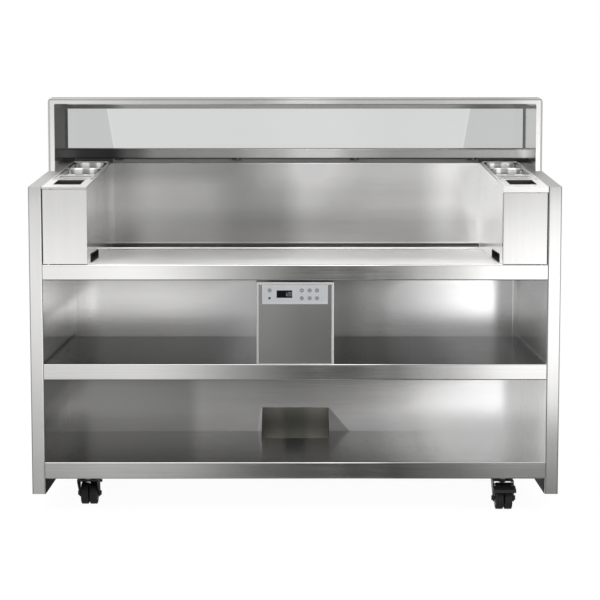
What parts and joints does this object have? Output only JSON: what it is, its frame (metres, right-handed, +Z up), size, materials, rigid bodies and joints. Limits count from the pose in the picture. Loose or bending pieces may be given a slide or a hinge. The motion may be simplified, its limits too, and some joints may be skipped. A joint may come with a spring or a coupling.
{
  "type": "steam table unit",
  "caption": "Mobile serving counter with an open module bay between two sloping towers, glass extraction bridge, shelves and casters.",
  "frame": {"origin": "on the floor, at the centre of the footprint", "axes": "+Z up, -Y towards the operator, +X to the operator's right"},
  "size_m": [1.5, 0.72, 1.185],
  "materials": {
    "body_steel": "brushed stainless sheet, satin",
    "panel_steel": "brushed stainless sheet, finer grain",
    "pan_steel": "deep-drawn stainless, smooth",
    "galvanised": "galvanised sheet, matt",
    "zinc": "bright zinc plating",
    "screen_glass": "clear toughened glass",
    "seal": "black extruded seal",
    "clip": "black moulded plastic",
    "motor": "black paint",
    "carbon": "filled plastic frame",
    "keypad": "fine satin plate",
    "display": "dark window",
    "lamp": "dark lens",
    "key": "grey moulded key",
    "board": "circuit board",
    "brass": "plain brass",
    "fork": "black coated steel",
    "wheel": "black tread"
  },
  "bodies": {
    "frame": {"left_cheek": "body_steel", "right_cheek": "body_steel", "deck": "body_steel", "mid_shelf": "body_steel", "bottom_shelf": "body_steel", "bay_back_panel": "body_steel", "mid_back_panel": "body_steel", "lower_back_panel": "body_steel", "left_tower": "body_steel", "right_tower": "body_steel", "bridge_frame": "body_steel", "duct_cover": "body_steel", "control_case": "body_steel", "control_front": "body_steel", "rear_panel": "panel_steel", "glass_rail": "panel_steel", "suction_duct": "galvanised", "fan_housing": "galvanised", "chassis_rails": "galvanised", "caster_plates": "zinc", "caster_bolts": "zinc", "glass_pane": "screen_glass", "glass_gasket": "seal", "filter_clips": "clip", "fan_motor": "motor", "carbon_filter": "carbon", "control_plate": "keypad", "display_window": "display", "indicator_lamp": "lamp", "control_board": "board", "earth_stud": "brass"},
    "left_door": {"left_door": "panel_steel"},
    "right_door": {"right_door": "panel_steel"},
    "left_front_pan": {"left_front_pan": "pan_steel"},
    "left_rear_pan": {"left_rear_pan": "pan_steel"},
    "left_bin": {"left_bin": "pan_steel"},
    "right_front_pan": {"right_front_pan": "pan_steel"},
    "right_rear_pan": {"right_rear_pan": "pan_steel"},
    "right_bin": {"right_bin": "pan_steel"},
    "left_filter": {"left_filter": "galvanised"},
    "centre_filter": {"centre_filter": "galvanised"},
    "right_filter": {"right_filter": "galvanised"},
    "fan_impeller": {"fan_impeller": "galvanised"},
    "power_key": {"power_key": "key"},
    "key_1": {"key_1": "key"},
    "key_2": {"key_2": "key"},
    "key_3": {"key_3": "key"},
    "key_4": {"key_4": "key"},
    "key_5": {"key_5": "key"},
    "key_6": {"key_6": "key"},
    "front_left_fork": {"front_left_fork": "fork"},
    "front_left_wheels": {"front_left_wheels": "wheel"},
    "front_right_fork": {"front_right_fork": "fork"},
    "front_right_wheels": {"front_right_wheels": "wheel"},
    "rear_left_fork": {"rear_left_fork": "fork"},
    "rear_left_wheels": {"rear_left_wheels": "wheel"},
    "rear_right_fork": {"rear_right_fork": "fork"},
    "rear_right_wheels": {"rear_right_wheels": "wheel"},
    "front_left_pedal": {"front_left_pedal": "fork"},
    "front_right_pedal": {"front_right_pedal": "fork"}
  },
  "joints": [
    {"name": "left_door_hinge", "type": "hinge", "parent": "frame", "child": "left_door", "pos_m": [-0.696, -0.352, 0.816], "axis": [0, 0, -1], "range_deg": [0, 100]},
    {"name": "right_door_hinge", "type": "hinge", "parent": "frame", "child": "right_door", "pos_m": [0.696, -0.352, 0.816], "axis": [0, 0, 1], "range_deg": [0, 100]},
    {"name": "left_front_pan_lift", "type": "slide", "parent": "frame", "child": "left_front_pan", "axis": [0, -0.0785, 0.9969], "range_m": [0, 0.08]},
    {"name": "left_rear_pan_lift", "type": "slide", "parent": "frame", "child": "left_rear_pan", "axis": [0, -0.0785, 0.9969], "range_m": [0, 0.08]},
    {"name": "left_bin_lift", "type": "slide", "parent": "frame", "child": "left_bin", "axis": [0, 0, 1], "range_m": [0, 0.24]},
    {"name": "right_front_pan_lift", "type": "slide", "parent": "frame", "child": "right_front_pan", "axis": [0, -0.0785, 0.9969], "range_m": [0, 0.08]},
    {"name": "right_rear_pan_lift", "type": "slide", "parent": "frame", "child": "right_rear_pan", "axis": [0, -0.0785, 0.9969], "range_m": [0, 0.08]},
    {"name": "right_bin_lift", "type": "slide", "parent": "frame", "child": "right_bin", "axis": [0, 0, 1], "range_m": [0, 0.24]},
    {"name": "left_filter_lift", "type": "slide", "parent": "frame", "child": "left_filter", "axis": [0, 0, 1], "range_m": [0, 0.06]},
    {"name": "centre_filter_lift", "type": "slide", "parent": "frame", "child": "centre_filter", "axis": [0, 0, 1], "range_m": [0, 0.06]},
    {"name": "right_filter_lift", "type": "slide", "parent": "frame", "child": "right_filter", "axis": [0, 0, 1], "range_m": [0, 0.06]},
    {"name": "fan_spin", "type": "hinge", "parent": "frame", "child": "fan_impeller", "pos_m": [0, 0.254, 0.25], "axis": [0, 0, 1], "continuous": true},
    {"name": "power_key_press", "type": "slide", "parent": "frame", "child": "power_key", "axis": [0, 1, 0], "range_m": [0, 0.0006], "stiffness_N_per_m": 400},
    {"name": "key_1_press", "type": "slide", "parent": "frame", "child": "key_1", "axis": [0, 1, 0], "range_m": [0, 0.0006], "stiffness_N_per_m": 400},
    {"name": "key_2_press", "type": "slide", "parent": "frame", "child": "key_2", "axis": [0, 1, 0], "range_m": [0, 0.0006], "stiffness_N_per_m": 400},
    {"name": "key_3_press", "type": "slide", "parent": "frame", "child": "key_3", "axis": [0, 1, 0], "range_m": [0, 0.0006], "stiffness_N_per_m": 400},
    {"name": "key_4_press", "type": "slide", "parent": "frame", "child": "key_4", "axis": [0, 1, 0], "range_m": [0, 0.0006], "stiffness_N_per_m": 400},
    {"name": "key_5_press", "type": "slide", "parent": "frame", "child": "key_5", "axis": [0, 1, 0], "range_m": [0, 0.0006], "stiffness_N_per_m": 400},
    {"name": "key_6_press", "type": "slide", "parent": "frame", "child": "key_6", "axis": [0, 1, 0], "range_m": [0, 0.0006], "stiffness_N_per_m": 400},
    {"name": "front_left_swivel", "type": "hinge", "parent": "frame", "child": "front_left_fork", "pos_m": [-0.6, -0.272, 0.08], "axis": [0, 0, 1], "continuous": true},
    {"name": "front_left_roll", "type": "hinge", "parent": "front_left_fork", "child": "front_left_wheels", "pos_m": [-0.6, -0.236, 0.0325], "axis": [1, 0, 0], "continuous": true},
    {"name": "front_right_swivel", "type": "hinge", "parent": "frame", "child": "front_right_fork", "pos_m": [0.6, -0.272, 0.08], "axis": [0, 0, 1], "continuous": true},
    {"name": "front_right_roll", "type": "hinge", "parent": "front_right_fork", "child": "front_right_wheels", "pos_m": [0.6, -0.308, 0.0325], "axis": [1, 0, 0], "continuous": true},
    {"name": "rear_left_swivel", "type": "hinge", "parent": "frame", "child": "rear_left_fork", "pos_m": [-0.6, 0.272, 0.08], "axis": [0, 0, 1], "continuous": true},
    {"name": "rear_left_roll", "type": "hinge", "parent": "rear_left_fork", "child": "rear_left_wheels", "pos_m": [-0.6, 0.308, 0.0325], "axis": [1, 0, 0], "continuous": true},
    {"name": "rear_right_swivel", "type": "hinge", "parent": "frame", "child": "rear_right_fork", "pos_m": [0.6, 0.272, 0.08], "axis": [0, 0, 1], "continuous": true},
    {"name": "rear_right_roll", "type": "hinge", "parent": "rear_right_fork", "child": "rear_right_wheels", "pos_m": [0.6, 0.308, 0.0325], "axis": [1, 0, 0], "continuous": true},
    {"name": "front_left_brake", "type": "hinge", "parent": "front_left_fork", "child": "front_left_pedal", "pos_m": [-0.6, -0.242, 0.071], "axis": [-1, 0, 0], "range_deg": [0, 8]},
    {"name": "front_right_brake", "type": "hinge", "parent": "front_right_fork", "child": "front_right_pedal", "pos_m": [0.6, -0.302, 0.071], "axis": [1, 0, 0], "range_deg": [0, 8]}
  ]
}
